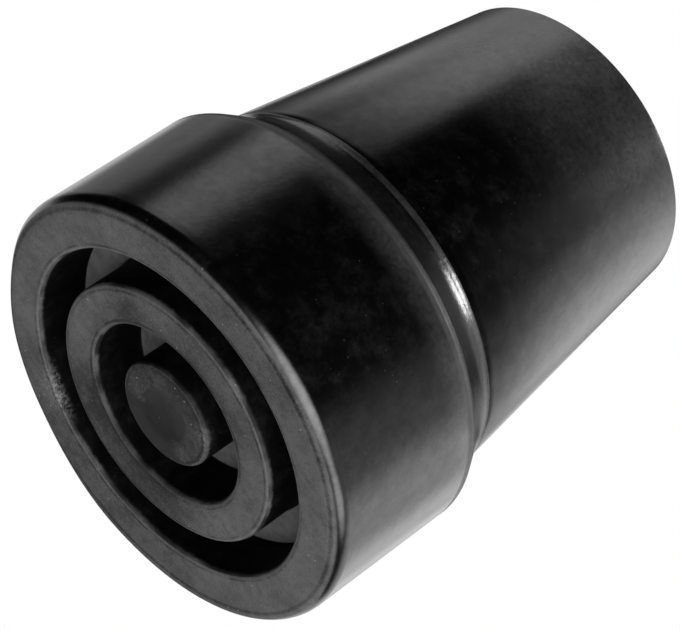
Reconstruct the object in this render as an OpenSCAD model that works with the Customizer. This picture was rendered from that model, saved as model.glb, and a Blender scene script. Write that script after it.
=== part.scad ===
// Rubber tip for a walking cane, moulded in one piece.
// It stands on its tread: Z is its axis, Z = 0 the tread plane, and the shaft goes in from above.

/* [Base] */
// Diameter of the base across the tread
base_d = 38; // [36:0.5:60]
// Height of the straight wall of the base, from the tread to the rim of the shoulder
wall_h = 14.8; // [9:0.1:24]
// Rounding where the tread meets the wall
tread_edge_r = 1.3; // [0.2:0.1:1.6]
// Rounding of the rim, where the wall meets the shoulder
rim_edge_r = 0.5; // [0.1:0.1:2]

/* [Shoulder] */
// How far the sloping shoulder steps in from the wall
shoulder_w = 2; // [1:0.05:3.5]
// Height of the sloping shoulder
shoulder_h = 3.3; // [1.5:0.05:8]
// Radius of the cove where the shoulder runs up into the neck
cove_r = 4.2; // [0.5:0.1:6]

/* [Neck and socket] */
// Height over all, from the tread to the mouth
height = 46; // [34:0.5:80]
// Diameter of the shaft that the socket grips
socket_d = 19; // [12:0.5:23]
// Rubber around the shaft at the mouth
lip_w = 3.9; // [2.5:0.1:5.5]
// Rubber under the end of the shaft, down to the tread plane
floor_t = 12; // [9:0.5:22]
// Rounding of the outer edge of the mouth
lip_edge_r = 0.6; // [0.1:0.1:1.2]
// Rounding that leads the shaft into the mouth
lead_in_r = 1; // [0.2:0.1:1.2]
// Fillet around the floor of the socket
socket_root_r = 1; // [0.2:0.1:3]

/* [Tread] */
// Depth of both ring grooves
groove_depth = 5; // [1.5:0.1:7]
// Diameter of the round boss in the middle
boss_d = 9.4; // [7.5:0.1:11]
// Width of the groove around the boss
inner_groove_w = 3.3; // [1.5:0.1:4.5]
// Width of the ring between the two grooves
ring_w = 3.6; // [1.5:0.1:5]
// Width of the groove outside that ring
outer_groove_w = 3; // [1.5:0.1:4.5]
// Rounding of the ring and boss edges
ring_edge_r = 0.5; // [0.1:0.05:0.6]
// Fillet along the bottom of the grooves
groove_root_r = 0.35; // [0.1:0.05:0.6]
// Diameter of the shallow dish in the boss
dish_d = 5.4; // [2:0.1:6]
// Depth of that dish
dish_depth = 0.4; // [0.1:0.05:1]

/* [Hidden] */
$fn = 180;

base_r = base_d / 2;
neck_z = wall_h + shoulder_h;
neck_r = base_r - shoulder_w;
socket_r = socket_d / 2;
mouth_r = socket_r + lip_w;

boss_r = boss_d / 2;
ring_in_r = boss_r + inner_groove_w;
ring_out_r = ring_in_r + ring_w;
rim_in_r = ring_out_r + outer_groove_w;

// The section from the foot of the axis round to its top: radius, height, rounding of the corner
tread_run = [
    [0, 0, 0],
    [boss_r, 0, ring_edge_r],
    [boss_r, groove_depth, groove_root_r],
    [ring_in_r, groove_depth, groove_root_r],
    [ring_in_r, 0, ring_edge_r],
    [ring_out_r, 0, ring_edge_r],
    [ring_out_r, groove_depth, groove_root_r],
    [rim_in_r, groove_depth, groove_root_r],
    [rim_in_r, 0, ring_edge_r]
];
outer_run = [
    [base_r, 0, tread_edge_r],
    [base_r, wall_h, rim_edge_r],
    [neck_r, neck_z, cove_r],
    [mouth_r, height, lip_edge_r]
];
socket_run = [
    [socket_r, height, lead_in_r],
    [socket_r, floor_t, socket_root_r],
    [0, floor_t, 0]
];
section = concat(tread_run, outer_run, socket_run);

function flat(p) = [p.x, p.y];
function unit(v) = v / norm(v);
function cross_z(a, b) = a.x * b.y - a.y * b.x;
// Unit directions from corner i of a run of corners to the one before and the one after it
function back(run, i) = unit(flat(run[(i + len(run) - 1) % len(run)]) - flat(run[i]));
function ahead(run, i) = unit(flat(run[(i + 1) % len(run)]) - flat(run[i]));
// Half the angle between the two sides that meet at a corner
function half_angle(run, i) = acos(back(run, i) * ahead(run, i)) / 2;
function is_outer(run, i) = cross_z(ahead(run, i), back(run, i)) > 0;

// What lies between a corner and the arc that rounds it: taken off outside, added inside
module corner_sliver(run, i) {
    r = run[i].z;
    tangent = r / tan(half_angle(run, i));
    middle = unit(back(run, i) + ahead(run, i)) * r / sin(half_angle(run, i));
    translate(flat(run[i]))
        difference() {
            polygon([[0, 0], back(run, i) * tangent, ahead(run, i) * tangent]);
            translate(middle) circle(r);
        }
}

// A closed outline with every corner rounded by its own radius
module rounded_outline(run) {
    difference() {
        union() {
            polygon([for (p = run) flat(p)]);
            for (i = [0 : len(run) - 1])
                if (run[i].z > 0 && !is_outer(run, i)) corner_sliver(run, i);
        }
        for (i = [0 : len(run) - 1])
            if (run[i].z > 0 && is_outer(run, i)) corner_sliver(run, i);
    }
}

// The round dish in the boss, part of a large circle centred below the tread
module dish() {
    dish_r = dish_d / 2;
    curve_r = (dish_r * dish_r + dish_depth * dish_depth) / (2 * dish_depth);
    translate([0, dish_depth - curve_r]) circle(curve_r);
}

module cane_tip() {
    color([0.1, 0.1, 0.1])
        rotate_extrude()
            difference() {
                rounded_outline(section);
                dish();
            }
}

cane_tip();
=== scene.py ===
import math

import bpy
from mathutils import Euler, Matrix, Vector


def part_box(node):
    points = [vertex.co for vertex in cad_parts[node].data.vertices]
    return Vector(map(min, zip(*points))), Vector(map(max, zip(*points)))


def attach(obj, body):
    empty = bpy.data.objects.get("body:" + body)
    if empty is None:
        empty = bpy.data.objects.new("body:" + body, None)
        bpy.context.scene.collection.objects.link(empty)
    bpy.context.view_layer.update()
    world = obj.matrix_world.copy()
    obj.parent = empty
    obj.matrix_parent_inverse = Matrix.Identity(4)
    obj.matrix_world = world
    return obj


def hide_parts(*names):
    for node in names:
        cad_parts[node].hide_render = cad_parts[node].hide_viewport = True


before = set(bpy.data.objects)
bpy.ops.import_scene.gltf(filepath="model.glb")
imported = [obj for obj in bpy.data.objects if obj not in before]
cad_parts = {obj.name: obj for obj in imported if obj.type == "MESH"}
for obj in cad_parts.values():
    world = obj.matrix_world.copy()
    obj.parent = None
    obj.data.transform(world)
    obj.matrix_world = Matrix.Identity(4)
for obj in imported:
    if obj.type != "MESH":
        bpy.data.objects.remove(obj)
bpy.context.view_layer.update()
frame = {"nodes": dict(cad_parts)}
mm = 0.001
print("frame loaded:", ", ".join(frame["nodes"]))


# Small helpers for node trees

def addNode(tree, kind, **settings):
    node = tree.nodes.new(kind)
    for name, value in settings.items():
        setattr(node, name, value)
    return node


def mathNode(tree, operation, first, second=None, third=None):
    node = addNode(tree, "ShaderNodeMath", operation=operation)
    for socket, value in zip(node.inputs, (first, second, third)):
        if isinstance(value, bpy.types.NodeSocket):
            tree.links.new(value, socket)
        elif value is not None:
            socket.default_value = value
    return node.outputs[0]


def rangeNode(tree, value, low, high, newLow=0.0, newHigh=1.0, smooth=True):
    node = addNode(tree, "ShaderNodeMapRange")
    if smooth:
        node.interpolation_type = "SMOOTHSTEP"
    tree.links.new(value, node.inputs["Value"])
    for name, amount in (("From Min", low), ("From Max", high), ("To Min", newLow), ("To Max", newHigh)):
        node.inputs[name].default_value = amount
    return node.outputs["Result"]


def noiseNode(tree, place, size, detail=2.0, roughness=0.5, distortion=0.0):
    node = addNode(tree, "ShaderNodeTexNoise")
    tree.links.new(place, node.inputs["Vector"])
    node.inputs["Scale"].default_value = 1 / (size * mm)   # size of a blotch in millimetres
    node.inputs["Detail"].default_value = detail
    node.inputs["Roughness"].default_value = roughness
    node.inputs["Distortion"].default_value = distortion
    return node.outputs["Fac"]


def mixNode(tree, factor, first, second, blend="MIX"):
    node = addNode(tree, "ShaderNodeMix", data_type="RGBA", blend_type=blend)
    for socket, value in ((node.inputs["Factor"], factor), (node.inputs["A"], first), (node.inputs["B"], second)):
        if isinstance(value, bpy.types.NodeSocket):
            tree.links.new(value, socket)
        else:
            socket.default_value = value
    return node.outputs["Result"]


# The rubber

rubber = {
    "clean": (0.0008, 0.0008, 0.0009, 1),   # walls, straight from the mould
    "bloomAndLeftLight": (0.160, 0.160, 0.163, 1),      # pale haze that rubber sweats out, in patches; also painted light on the left of the neck
    "scuffed": (0.088, 0.088, 0.089, 1),    # faces that look at the ground
    "dull": (0.007, 0.007, 0.0073, 1),      # darker blotches in the scuffed faces, the boss and the dish
    # the dust colour is also used below to paint the groove floors paler, as painted light
    "dust": (0.22, 0.22, 0.22, 1),
    "wallRoughness": (0.21, 0.36),          # clean, under bloom
    "scuffedRoughness": 0.72,
    "grooveRoughness": 0.60,
    "shine": (0.5, 0.09, 0.06, 0.6, 0.22),  # walls, foot of the neck, in the grooves, edge and faces of the tread
    "grooveFloorLight": 0.32,                     # painted light: makes the floors of the grooves paler, against the shade in the grooves
    "paintedShadeLines": (4.25, 8.45, 11.15, 15.05),    # radii of the fine dark lines of painted shade beside the worn edges
    "neckBloomAndLeftLight": (29.0, 46.0, 0.17),        # grows up the neck to its mouth; heights, most
    "rimBloom": (11.8, 14.6, 0.19),         # a band under the rim of the shoulder
    "coveBloom": 0.20,                      # the strip below the line at the foot of the neck
    "bloomPatch": 2.0, "bloomCloud": 3.2, "bloomGrain": 0.45,  # sizes in millimetres from here on
    "glossPatch": 1.1, "cloud": 5.5, "blotch": 0.9, "grain": 0.20,
    "dustSpacing": 0.6, "dustSize": 0.05,
    "peel": 0.38, "peelHeight": 0.005,      # fine waviness that the mould leaves on the walls
    "grit": 0.16, "gritHeight": 0.006,      # roughness of the scuffed faces
    "dishRadius": 2.55,
    "smudges": [(-8.5, -4.9, 3.6, 0.40), (-6.0, 14.5, 4.0, 0.12), (3.2, 1.2, 1.6, -0.25)],   # place, reach, most
    "scrapes": [(-6.5, 13.0, 0.3, 3.6, 0.55), (9.0, 3.0, 0, 3.5, 0.22), (3.2, -3.2, 0, 1.8, 0.25)],
    "grooveReach": 15.2, "grooveTop": 6.0,  # the ring grooves lie inside this radius and below this height
}


def dustMask(tree, place, spacing, size):
    cells = addNode(tree, "ShaderNodeTexVoronoi")
    tree.links.new(place, cells.inputs["Vector"])
    cells.inputs["Scale"].default_value = 1 / (spacing * mm)
    shade = addNode(tree, "ShaderNodeSeparateColor")
    tree.links.new(cells.outputs["Color"], shade.inputs[0])
    # each grain has its own size, and most cells have none
    reach = rangeNode(tree, shade.outputs[0], 0.65, 1.0, 0.0, size / spacing * 2, smooth=False)
    inside = mathNode(tree, "SUBTRACT", reach, cells.outputs["Distance"])
    return rangeNode(tree, inside, 0, size / spacing * 0.6)


def makeRubber():
    material = bpy.data.materials.new("moulded_rubber")
    material.use_nodes = True
    tree = material.node_tree
    shader = tree.nodes["Principled BSDF"]
    coordinates = addNode(tree, "ShaderNodeTexCoord")
    place = coordinates.outputs["Object"]
    where = addNode(tree, "ShaderNodeSeparateXYZ")
    tree.links.new(place, where.inputs[0])
    height = where.outputs["Z"]

    # What faces the ground is scuffed and greyer than the walls
    facing = addNode(tree, "ShaderNodeSeparateXYZ")
    tree.links.new(coordinates.outputs["Normal"], facing.inputs[0])
    flatPlace = addNode(tree, "ShaderNodeVectorMath", operation="MULTIPLY")
    tree.links.new(place, flatPlace.inputs[0])
    flatPlace.inputs[1].default_value = (1, 1, 0)
    fromAxis = addNode(tree, "ShaderNodeVectorMath", operation="LENGTH")
    tree.links.new(flatPlace.outputs[0], fromAxis.inputs[0])
    radius = fromAxis.outputs["Value"]
    groundward = rangeNode(tree, facing.outputs["Z"], -0.66, -0.88)
    matte = rangeNode(tree, facing.outputs["Z"], -0.72, -0.90)

    # Wear reaches round the edges of the ring grooves and a little way down their walls
    reach, top = rubber["grooveReach"], rubber["grooveTop"]
    inGrooves = mathNode(tree, "MULTIPLY", rangeNode(tree, radius, (reach - 0.2) * mm, (reach + 0.2) * mm, 1, 0),
                         rangeNode(tree, height, top * mm, (top + 0.5) * mm, 1, 0))
    ragged = mathNode(tree, "MULTIPLY_ADD", noiseNode(tree, place, 0.5, 3), 0.5 * mm, height)
    patchy = rangeNode(tree, noiseNode(tree, place, 3.0, 2), 0.36, 0.64, 0.25, 1)
    worn = mathNode(tree, "MULTIPLY", inGrooves, rangeNode(tree, ragged, 0.45 * mm, 0.85 * mm, 0.6, 0))
    worn = mathNode(tree, "MULTIPLY", worn, patchy)
    scuffed = mathNode(tree, "MAXIMUM", groundward, worn)
    clear = mathNode(tree, "SUBTRACT", 1.0, scuffed)
    deep = mathNode(tree, "MULTIPLY", inGrooves, clear)
    matte = mathNode(tree, "MAXIMUM", matte, mathNode(tree, "MULTIPLY", worn, 0.5))

    # Bloom grows up the neck and lies under the rim, in patches with a fine broken grain; on the left of the neck it
    # is made heavier as painted light
    patch = rangeNode(tree, noiseNode(tree, place, rubber["bloomPatch"], 6, 0.75), 0.42, 0.80, 0.0, 0.045)
    low, high, most = rubber["neckBloomAndLeftLight"]
    neckBloomAndLeftLight = rangeNode(tree, height, low * mm, high * mm, 0, most)
    # painted light: up to eight times more towards the left, where the light from the left falls
    neckBloomAndLeftLight = mathNode(tree, "MULTIPLY", neckBloomAndLeftLight, rangeNode(tree, where.outputs["X"], 0, -13 * mm, 1, 8))
    low, high, most = rubber["rimBloom"]
    rimBloom = rangeNode(tree, height, low * mm, high * mm, 0, most)
    aboveRim = rangeNode(tree, height, 14.9 * mm, 15.2 * mm, 1, 0.2)
    rimBloom = mathNode(tree, "MULTIPLY", rimBloom, aboveRim)
    rimBloom = mathNode(tree, "MULTIPLY", rimBloom, rangeNode(tree, height, 17.6 * mm, 18.2 * mm, 1, 0))
    strip = mathNode(tree, "MULTIPLY", rangeNode(tree, height, 18.15 * mm, 18.35 * mm, 0, rubber["coveBloom"]),
                     rangeNode(tree, height, 18.90 * mm, 19.0 * mm, 1, 0))
    amount = mathNode(tree, "ADD", mathNode(tree, "ADD", neckBloomAndLeftLight, rimBloom), mathNode(tree, "ADD", patch, strip))
    for size, least in ((rubber["bloomCloud"], 0.5), (rubber["bloomGrain"], 0.45)):
        broken = rangeNode(tree, noiseNode(tree, place, size, 3, 0.6), 0.2, 0.8, least, 2 - least, smooth=False)
        amount = mathNode(tree, "MULTIPLY", amount, broken)
    bloomAndLeftLight = mathNode(tree, "SUBTRACT", 1.0, mathNode(tree, "POWER", 0.4, amount))   # never quite covers the rubber
    wall = mixNode(tree, bloomAndLeftLight, rubber["clean"], rubber["bloomAndLeftLight"])

    # The scuffed faces are blotched and grainy, and the boss and its dish are darker
    cloud = noiseNode(tree, place, rubber["cloud"], 1)
    blotch = noiseNode(tree, place, rubber["blotch"], 4, 0.6)
    grain = noiseNode(tree, place, rubber["grain"], 2, 0.5)
    spread = mathNode(tree, "ADD", mathNode(tree, "MULTIPLY", blotch, 0.35), mathNode(tree, "MULTIPLY", grain, 0.35))
    spread = mathNode(tree, "ADD", spread, mathNode(tree, "MULTIPLY", cloud, 0.30))
    dull = rangeNode(tree, spread, 0.62, 0.38, 0.0, 0.48)
    sideways = mathNode(tree, "ABSOLUTE", mathNode(tree, "DIVIDE", where.outputs["X"], radius))
    dull = mathNode(tree, "ADD", dull, rangeNode(tree, sideways, 0.3, 0.95, 0.18, 0))   # less worn to front and back
    back = rangeNode(tree, mathNode(tree, "DIVIDE", where.outputs["Y"], radius), 0.35, 0.95)
    back = mathNode(tree, "MULTIPLY", back, rangeNode(tree, radius, 11 * mm, 14 * mm, 0.34, 0.14))
    dull = mathNode(tree, "ADD", dull, back)
    for x, y, reach, most in rubber["smudges"]:
        apart = addNode(tree, "ShaderNodeVectorMath", operation="DISTANCE")
        tree.links.new(place, apart.inputs[0])
        apart.inputs[1].default_value = (x * mm, y * mm, 0)
        dull = mathNode(tree, "ADD", dull, rangeNode(tree, apart.outputs["Value"], 0, reach * mm, most, 0))
    # painted shade: a dark line along the fine crease at the tread's edge, where its shadow falls
    creaseShade = mathNode(tree, "MULTIPLY", rangeNode(tree, radius, 17.85 * mm, 18.05 * mm),
                      rangeNode(tree, radius, 18.15 * mm, 18.35 * mm, 0.4, 0))
    dull = mathNode(tree, "ADD", dull, creaseShade)
    # painted shade: fine dark lines on the faces next to each edge, where the face turns into the edge's rounding
    faint = rangeNode(tree, noiseNode(tree, place, 2.5, 2), 0.35, 0.60, 0.05, 0.42)
    for line in rubber["paintedShadeLines"]:
        apart = mathNode(tree, "ABSOLUTE", mathNode(tree, "SUBTRACT", radius, line * mm))
        onShadeLine = rangeNode(tree, apart, 0.05 * mm, 0.14 * mm, 1, 0)
        dull = mathNode(tree, "ADD", dull, mathNode(tree, "MULTIPLY", onShadeLine, faint))
    middle = rangeNode(tree, radius, 4.9 * mm, 11 * mm, 0.60, 0.0)
    middle = mathNode(tree, "MULTIPLY", middle, rangeNode(tree, height, 1 * mm, 3 * mm, 1, 0.2))
    wavy = mathNode(tree, "MULTIPLY_ADD", noiseNode(tree, place, 1.6, 1), 0.8 * mm, radius)
    dish = rangeNode(tree, wavy, (rubber["dishRadius"] + 0.65) * mm, (rubber["dishRadius"] + 0.15) * mm, 0, 0.97)
    dull = mathNode(tree, "MAXIMUM", mathNode(tree, "ADD", dull, middle), dish)
    tread = mixNode(tree, dull, rubber["scuffed"], rubber["dull"])
    # painted light: the groove floors are mixed towards the pale dust colour to make up for the shade in the grooves;
    # the rubbed groove edges are added below
    floorLightAndRubbedEdges = mathNode(tree, "MULTIPLY", inGrooves, rangeNode(tree, height, 4 * mm, 4.7 * mm, 0, rubber["grooveFloorLight"]))
    floorLightAndRubbedEdges = mathNode(tree, "MULTIPLY", floorLightAndRubbedEdges, rangeNode(tree, blotch, 0.3, 0.7, 0.6, 1.4, smooth=False))
    rubbed = mathNode(tree, "MULTIPLY", inGrooves, rangeNode(tree, facing.outputs["Z"], -0.97, -0.80, 0, 0.20))
    rubbed = mathNode(tree, "MULTIPLY", rubbed, patchy)
    floorLightAndRubbedEdges = mathNode(tree, "ADD", floorLightAndRubbedEdges, mathNode(tree, "MULTIPLY", rubbed, rangeNode(tree, height, 0.3 * mm, 0.6 * mm, 1, 0)))
    tread = mixNode(tree, floorLightAndRubbedEdges, tread, rubber["dust"])

    colour = mixNode(tree, scuffed, wall, tread)
    dust = dustMask(tree, place, rubber["dustSpacing"], rubber["dustSize"])
    dust = mathNode(tree, "MULTIPLY", dust, rangeNode(tree, scuffed, 0, 1, 0.07, 0.8, smooth=False))
    colour = mixNode(tree, dust, colour, rubber["dust"])
    rough = rangeNode(tree, noiseNode(tree, place, 0.30, 3, 0.6), 0.35, 0.70)
    rough = mathNode(tree, "MULTIPLY", rough, rangeNode(tree, height, 0.5 * mm, 1.1 * mm, 1, 0))   # on the tread's edges
    for x, y, z, reach, most in rubber["scrapes"]:
        apart = addNode(tree, "ShaderNodeVectorMath", operation="DISTANCE")
        tree.links.new(place, apart.inputs[0])
        apart.inputs[1].default_value = (x * mm, y * mm, z * mm)
        scrape = mathNode(tree, "MULTIPLY", rangeNode(tree, apart.outputs["Value"], 0, reach * mm, most, 0), rough)
        colour = mixNode(tree, scrape, colour, rubber["dust"])
    tree.links.new(colour, shader.inputs["Base Color"])

    clean, hazy = rubber["wallRoughness"]
    wallRoughness = rangeNode(tree, bloomAndLeftLight, 0, 1, clean, hazy, smooth=False)
    inside = mathNode(tree, "MULTIPLY", inGrooves, rubber["grooveRoughness"])
    wallRoughness = mathNode(tree, "MAXIMUM", wallRoughness, inside)
    onRim = mathNode(tree, "MULTIPLY", rangeNode(tree, height, 14.1 * mm, 14.5 * mm, 0, 0.28),
                     rangeNode(tree, height, 15.2 * mm, 15.6 * mm, 1, 0))
    wallRoughness = mathNode(tree, "ADD", wallRoughness, onRim)   # handling has taken the gloss off the rim
    roughness = addNode(tree, "ShaderNodeMix")
    tree.links.new(matte, roughness.inputs["Factor"])
    tree.links.new(wallRoughness, roughness.inputs["A"])
    roughness.inputs["B"].default_value = rubber["scuffedRoughness"]
    tree.links.new(roughness.outputs["Result"], shader.inputs["Roughness"])

    # The foot of the neck shines less than the rest, and the grooves hardly at all
    plain, foot, groove, edge, face = rubber["shine"]
    onNeck = rangeNode(tree, height, 18.9 * mm, 19.1 * mm, 0, plain - foot)
    shine = mathNode(tree, "MULTIPLY", onNeck, rangeNode(tree, height, 19 * mm, 34 * mm, 1, 0))
    shine = mathNode(tree, "ADD", shine, mathNode(tree, "MULTIPLY", deep, plain - groove))
    shoulder = mathNode(tree, "MULTIPLY", rangeNode(tree, height, 15.0 * mm, 15.6 * mm),
                        rangeNode(tree, height, 18.8 * mm, 19.0 * mm, 1, 0))
    dusty = mathNode(tree, "MULTIPLY", shoulder, rangeNode(tree, where.outputs["X"], 6.5 * mm, 11 * mm, 0, 0.30))
    shine = mathNode(tree, "ADD", shine, dusty)
    shine = mathNode(tree, "ADD", shine, mathNode(tree, "MULTIPLY", matte, plain - face))
    shine = mathNode(tree, "SUBTRACT", plain, shine)
    onEdge = mathNode(tree, "MULTIPLY", rangeNode(tree, radius, 17.9 * mm, 18.3 * mm, 0, edge - plain),
                      rangeNode(tree, height, 1.2 * mm, 1.6 * mm, 1, 0))
    onEdge = mathNode(tree, "MULTIPLY", onEdge, mathNode(tree, "SUBTRACT", 1.0, matte))
    uneven = noiseNode(tree, place, rubber["glossPatch"], 5, 0.7)
    gloss = mathNode(tree, "MULTIPLY", mathNode(tree, "ADD", shine, onEdge), rangeNode(tree, uneven, 0.3, 0.7, 0.82, 1.18))
    tree.links.new(gloss, shader.inputs["Specular IOR Level"])

    # Fine relief: a soft peel on the walls, grit where the rubber is scuffed
    peel = noiseNode(tree, place, rubber["peel"], 2, 0.5)
    grit = noiseNode(tree, place, rubber["grit"], 3, 0.6)
    peelHeight = mathNode(tree, "MULTIPLY", peel, rubber["peelHeight"] * mm)
    peelHeight = mathNode(tree, "MULTIPLY", peelHeight, rangeNode(tree, shoulder, 0, 1, 1, 3, smooth=False))
    gritHeight = mathNode(tree, "MULTIPLY", mathNode(tree, "MULTIPLY", grit, rubber["gritHeight"] * mm), scuffed)
    bump = addNode(tree, "ShaderNodeBump")
    bump.inputs["Distance"].default_value = 1.0
    tree.links.new(mathNode(tree, "ADD", peelHeight, gritHeight), bump.inputs["Height"])
    tree.links.new(bump.outputs["Normal"], shader.inputs["Normal"])
    return material


# The tip: one section turned about the axis. Sizes in millimetres, as in the solid.

tip = {
    "wallHeight": 14.8,
    "treadEdge": 1.3,
    "rimEdge": 0.5,
    "shoulderWidth": 2.0,
    "shoulderHeight": 3.3,
    "cove": 4.2,
    "socketRadius": 9.5,
    "lipWidth": 3.9,
    "floorThickness": 12.0,
    "lipEdge": 0.25,
    "leadIn": 1.0,
    "socketRoot": 1.0,
    "grooveDepth": 5.0,
    "bossRadius": 4.7,
    "innerGroove": 3.3,
    "ring": 3.6,
    "outerGroove": 3.0,
    "ringEdge": 0.4,
    "grooveRoot": 0.35,
    "dishRadius": 2.7,
    "dishDepth": 0.4,
    "sharperEdge": 0.4,   # the tread's edge where the moulding is sharpest
    "sharperAngles": (-40, 60, 75, 112),        # where that begins, is full, and ends
    "treadCrease": (18.10, 0.06, 0.02, 0.24),   # radius, height, depth and width of a fine line in the surface
    "neckCrease": (16.89, 18.97, 0.05, 0.16),
    "segments": 300,      # around the axis
    "arcStep": 9.0,       # degrees between points on a rounded corner
    "longestStep": 0.8,   # between points on a straight stretch
}

# The moulding is a little uneven: angle and reach in degrees, heights, then outward and upward push
unevenness = [
    (152, 22, (-2.0, 6.0), -0.20, 0.0),
    (-155, 26, (13.5, 20.0), 0.0, -0.24),
    (-8, 42, (13.5, 18.0), 0.0, 0.18),
]


def sectionCorners(baseRadius, height, treadEdge):
    bossRadius = tip["bossRadius"]
    ringIn = bossRadius + tip["innerGroove"]
    ringOut = ringIn + tip["ring"]
    rimIn = ringOut + tip["outerGroove"]
    depth, edge, root = tip["grooveDepth"], tip["ringEdge"], tip["grooveRoot"]
    neckFoot = tip["wallHeight"] + tip["shoulderHeight"]
    return [
        (bossRadius, 0, edge), (bossRadius, depth, root),
        (ringIn, depth, root), (ringIn, 0, edge),
        (ringOut, 0, edge), (ringOut, depth, root),
        (rimIn, depth, root), (rimIn, 0, edge),
        (baseRadius, 0, treadEdge),
        (baseRadius, tip["wallHeight"], tip["rimEdge"]),
        (baseRadius - tip["shoulderWidth"], neckFoot, tip["cove"]),
        (tip["socketRadius"] + tip["lipWidth"], height, tip["lipEdge"]),
        (tip["socketRadius"], height, tip["leadIn"]),
        (tip["socketRadius"], tip["floorThickness"], tip["socketRoot"]),
    ]


def roundedCorner(before, corner, after, radius):
    here = Vector(corner)
    back = (Vector(before) - here).normalized()
    ahead = (Vector(after) - here).normalized()
    half = back.angle(ahead) / 2
    middle = here + (back + ahead).normalized() * radius / math.sin(half)
    start = here + back * radius / math.tan(half) - middle
    end = here + ahead * radius / math.tan(half) - middle
    turn = start.angle(end)
    steps = max(3, math.ceil(math.degrees(turn) / tip["arcStep"]))
    arc = []
    for i in range(steps + 1):
        share = i / steps
        blend = start * math.sin((1 - share) * turn) + end * math.sin(share * turn)
        arc.append(middle + blend / math.sin(turn))
    return arc


def dishPoints(steps):
    # part of a large circle, with its middle below the tread
    radius, depth = tip["dishRadius"], tip["dishDepth"]
    curve = (radius * radius + depth * depth) / (2 * depth)
    points = []
    for i in range(steps + 1):
        x = radius * i / steps
        points.append(Vector((x, depth - curve + math.sqrt(curve * curve - x * x))))
    return points


def addCreases(sections):
    # the same points make way in every section, so that the sections still match
    for radius, height, depth, width in (tip["treadCrease"], tip["neckCrease"]):
        points = sections[0]
        spot = Vector((radius, height))
        i = min(range(1, len(points) - 1), key=lambda k: (points[k] - spot).length)
        near = [k for k in range(len(points)) if (points[k] - points[i]).length < width * 0.8]
        for points in sections:
            along = (points[i + 1] - points[i - 1]).normalized()
            inward = Vector((-along.y, along.x))
            middle = points[i]
            before, after = points[near[0] - 1] - middle, points[near[-1] + 1] - middle
            points[near[0]:near[-1] + 1] = [
                middle + before.normalized() * min(width / 2, before.length * 0.6), middle + inward * depth,
                middle + after.normalized() * min(width / 2, after.length * 0.6)]


def sectionPoints(baseRadius, height, treadEdge):
    corners = sectionCorners(baseRadius, height, treadEdge)
    last = Vector((0, tip["floorThickness"]))
    points = dishPoints(6)
    run = [points[-1]] + [Vector(c[:2]) for c in corners] + [last]
    for i in range(1, len(run)):
        stretch = (run[i] - run[i - 1]).length
        arc = [last]
        if i <= len(corners):
            arc = roundedCorner(run[i - 1], run[i], run[i + 1], corners[i - 1][2])
        start = points[-1]
        steps = max(1, math.ceil(stretch / tip["longestStep"]))
        points += [start.lerp(arc[0], k / steps) for k in range(1, steps)]
        points += arc
    return points


def softStep(value, low, high):
    share = min(max((value - low) / (high - low), 0), 1)
    return share * share * (3 - 2 * share)


def settle(x, z, degrees):
    # moves a point of the section where the moulding is uneven
    if x < 16:
        return x, z
    newX, newZ = x, z
    for angle, reach, (low, high), outward, upward in unevenness:
        apart = abs((degrees - angle + 180) % 360 - 180)
        amount = softStep(reach - apart, 0, reach) * softStep(z, low - 1, low + 1) * softStep(high - z, -2, 2)
        newX += outward * amount
        newZ += upward * amount
    return newX, newZ


def turnSection(plain, sharp, segments):
    vertices, faces, rings = [], [], []
    begin, full, fade, end = tip["sharperAngles"]
    share = []
    for i in range(segments):
        degrees = (360 * i / segments + 180) % 360 - 180
        share.append(softStep(degrees, begin, full) * softStep(-degrees, -end, -fade))
    for point, other in zip(plain, sharp):
        if point.x < 1e-6:
            rings.append([len(vertices)])
            vertices.append(Vector((0, 0, point.y)))
            continue
        rings.append(list(range(len(vertices), len(vertices) + segments)))
        for i in range(segments):
            angle = 2 * math.pi * i / segments
            place = point.lerp(other, share[i])
            x, z = settle(place.x, place.y, math.degrees(angle))
            vertices.append(Vector((x * math.cos(angle), x * math.sin(angle), z)))
    for low, high in zip(rings, rings[1:]):
        for i in range(segments):
            j = (i + 1) % segments
            if len(low) == 1:
                faces.append((low[0], high[j], high[i]))
            elif len(high) == 1:
                faces.append((low[i], low[j], high[0]))
            else:
                faces.append((low[i], low[j], high[j], high[i]))
    return vertices, faces


def makeTip():
    low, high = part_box("cane_tip")
    sections = [sectionPoints(high.x / mm, high.z / mm, edge) for edge in (tip["treadEdge"], tip["sharperEdge"])]
    addCreases(sections)
    vertices, faces = turnSection(*sections, tip["segments"])
    mesh = bpy.data.meshes.new("cane_tip_rubber")
    mesh.from_pydata([v * mm for v in vertices], [], faces)
    mesh.shade_smooth()
    piece = bpy.data.objects.new("cane_tip_rubber", mesh)
    bpy.context.scene.collection.objects.link(piece)
    mesh.materials.append(makeRubber())
    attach(piece, "root")
    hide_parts("cane_tip")
    print("tip made:", len(sections[0]), "points in the section,", len(faces), "faces")
    return piece


makeTip()


# Floor, background and lamps

studio = {
    "floorSize": 3.0,
    "floorDrop": 0.1 * mm,    # keeps the floor's surface and the tread's apart
    "floorColour": (0.80, 0.80, 0.80, 1),
    "background": 1.0,
    "backdropSides": (0.73, 0.79),    # parts of a direction, towards the back, where the background ends and is full
    "backdropTop": (0.62, 0.585),     # the same upwards
}

# Soft lights: bearing and height of the middle, where full and where ended, all in degrees; brightness, white is 1
softLights = {
    "left": (-171, 40, 9, 19, 1.5),
    "leftBack": (137, 28, 6, 18, 0.4),
    "right": (28, 24, 10, 34, 1.3),
    "rightBack": (54, 37, 6, 18, 0.75),
    "leftFill": (151, 46, 5, 18, 0.8),
    "frontRight": (-8, -20, 4, 24, 4.5),
    "front": (-58, -33, 6, 40, 6.0),
    "rightFront": (-14, 20, 12, 38, 0.65),
    "rightTop": (10, 50, 8, 26, 0.95),
    "lowBack": (89, -31, 6, 20, 0.4),
    "top": (-29, 68, 3, 9, 23.0),
}


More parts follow.
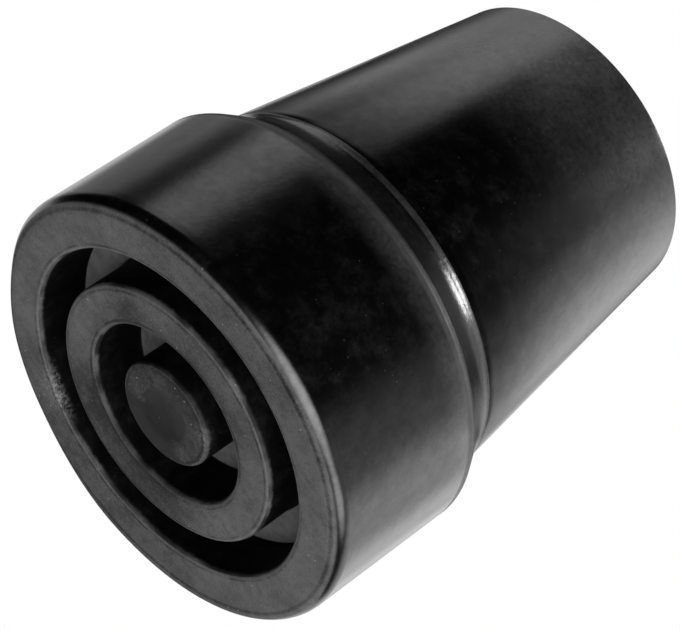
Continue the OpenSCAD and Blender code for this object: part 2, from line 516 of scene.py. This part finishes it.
def makeFloor():
    half = studio["floorSize"] / 2
    corners = [(-half, -half), (half, -half), (half, half), (-half, half)]
    mesh = bpy.data.meshes.new("floor")
    mesh.from_pydata([(x, y, -studio["floorDrop"]) for x, y in corners], [], [(0, 1, 2, 3)])
    floor = bpy.data.objects.new("floor", mesh)
    bpy.context.scene.collection.objects.link(floor)
    floor.visible_diffuse = False
    floor.visible_glossy = False
    floor.visible_shadow = False

    # Seen from above it is pale, and from below, where the camera is, it is clear
    material = bpy.data.materials.new("pale_floor")
    material.use_nodes = True
    tree = material.node_tree
    shader = tree.nodes["Principled BSDF"]
    shader.inputs["Base Color"].default_value = studio["floorColour"]
    shader.inputs["Roughness"].default_value = 0.9
    shader.inputs["Specular IOR Level"].default_value = 0.0
    clear = addNode(tree, "ShaderNodeBsdfTransparent")
    side = addNode(tree, "ShaderNodeNewGeometry")
    mix = addNode(tree, "ShaderNodeMixShader")
    tree.links.new(side.outputs["Backfacing"], mix.inputs[0])
    tree.links.new(shader.outputs[0], mix.inputs[1])
    tree.links.new(clear.outputs[0], mix.inputs[2])
    tree.links.new(mix.outputs[0], tree.nodes["Material Output"].inputs["Surface"])
    mesh.materials.append(material)


def softLobe(tree, direction, bearing, height, core, edge, brightness):
    towards = addNode(tree, "ShaderNodeVectorMath", operation="DOT_PRODUCT")
    tree.links.new(direction, towards.inputs[0])
    bearing, height = math.radians(bearing), math.radians(height)
    towards.inputs[1].default_value = (
        math.cos(height) * math.cos(bearing), math.cos(height) * math.sin(bearing), math.sin(height))
    ended, full = math.cos(math.radians(edge)), math.cos(math.radians(core))
    return rangeNode(tree, towards.outputs["Value"], ended, full, 0, brightness)


def makeBackground():
    world = bpy.data.worlds.new("studio")
    bpy.context.scene.world = world
    world.use_nodes = True
    tree = world.node_tree
    background = tree.nodes["Background"]
    background.inputs["Color"].default_value = (1, 1, 1, 1)
    direction = addNode(tree, "ShaderNodeTexCoord").outputs["Generated"]
    light = None
    for settings in softLights.values():
        lobe = softLobe(tree, direction, *settings)
        light = lobe if light is None else mathNode(tree, "ADD", light, lobe)

    # The white ground shows to the camera everywhere, and in reflections where it stands, behind the object
    path = addNode(tree, "ShaderNodeLightPath")
    reflected = mathNode(tree, "MAXIMUM", path.outputs["Is Glossy Ray"], path.outputs["Is Transmission Ray"])
    parts = addNode(tree, "ShaderNodeSeparateXYZ")
    tree.links.new(direction, parts.inputs[0])
    behind = mathNode(tree, "MULTIPLY", rangeNode(tree, parts.outputs["Y"], *studio["backdropSides"]),
                      rangeNode(tree, parts.outputs["Z"], *studio["backdropTop"]))
    shown = mathNode(tree, "MAXIMUM", path.outputs["Is Camera Ray"], mathNode(tree, "MULTIPLY", reflected, behind))
    # white where it is shown, the soft lights elsewhere
    unlit = mathNode(tree, "SUBTRACT", 1.0, path.outputs["Is Camera Ray"])
    light = mathNode(tree, "MULTIPLY", light, unlit)
    ground = mathNode(tree, "MULTIPLY", shown, studio["background"])
    tree.links.new(mathNode(tree, "ADD", ground, light), background.inputs["Strength"])


lamps = {
    # bearing and height in degrees, distance and size in metres; brightness of the face, where white paper is 1
    "under": {"bearing": -98, "height": -85, "distance": 0.6, "size": (0.36, 0.36), "brightness": 2.2},
}


def makeLamps():
    for name, lamp in lamps.items():
        light = bpy.data.lights.new(name, "AREA")
        light.shape = "RECTANGLE"
        light.size, light.size_y = lamp["size"]
        light.energy = lamp["brightness"] * math.pi * light.size * light.size_y
        holder = bpy.data.objects.new(name, light)
        bpy.context.scene.collection.objects.link(holder)
        bearing, height = math.radians(lamp["bearing"]), math.radians(lamp["height"])
        direction = Vector((math.cos(height) * math.cos(bearing), math.cos(height) * math.sin(bearing), math.sin(height)))
        middle = Vector((0, 0, 0.02))
        holder.location = middle + direction * lamp["distance"]
        holder.rotation_euler = direction.to_track_quat("Z", "Y").to_euler()
        holder.visible_camera = False


# The camera looks up at the tread from in front and below, turned on its side as the photograph is

view = {
    "target": (0.00125, 0, 0.01856),
    "distance": 0.2495,
    "height": -32.02,     # degrees above the floor, below it where negative
    "roll": 55.56,
    "lens": 163.09,
}


def makeCamera():
    data = bpy.data.cameras.new("camera")
    data.lens = view["lens"]
    data.sensor_width = 36
    data.clip_start = 0.01
    camera = bpy.data.objects.new("camera", data)
    bpy.context.scene.collection.objects.link(camera)
    height = math.radians(view["height"])
    back = Vector((0, -math.cos(height), math.sin(height)))
    camera.location = Vector(view["target"]) + back * view["distance"]
    turn = Euler((math.pi / 2 - height, 0, 0)).to_matrix() @ Euler((0, 0, math.radians(view["roll"]))).to_matrix()
    camera.rotation_euler = turn.to_euler()
    bpy.context.scene.camera = camera


makeFloor()
makeBackground()
makeLamps()
makeCamera()
bpy.context.scene.view_settings.view_transform = "Standard"
print("studio made:", len(lamps), "lamps")
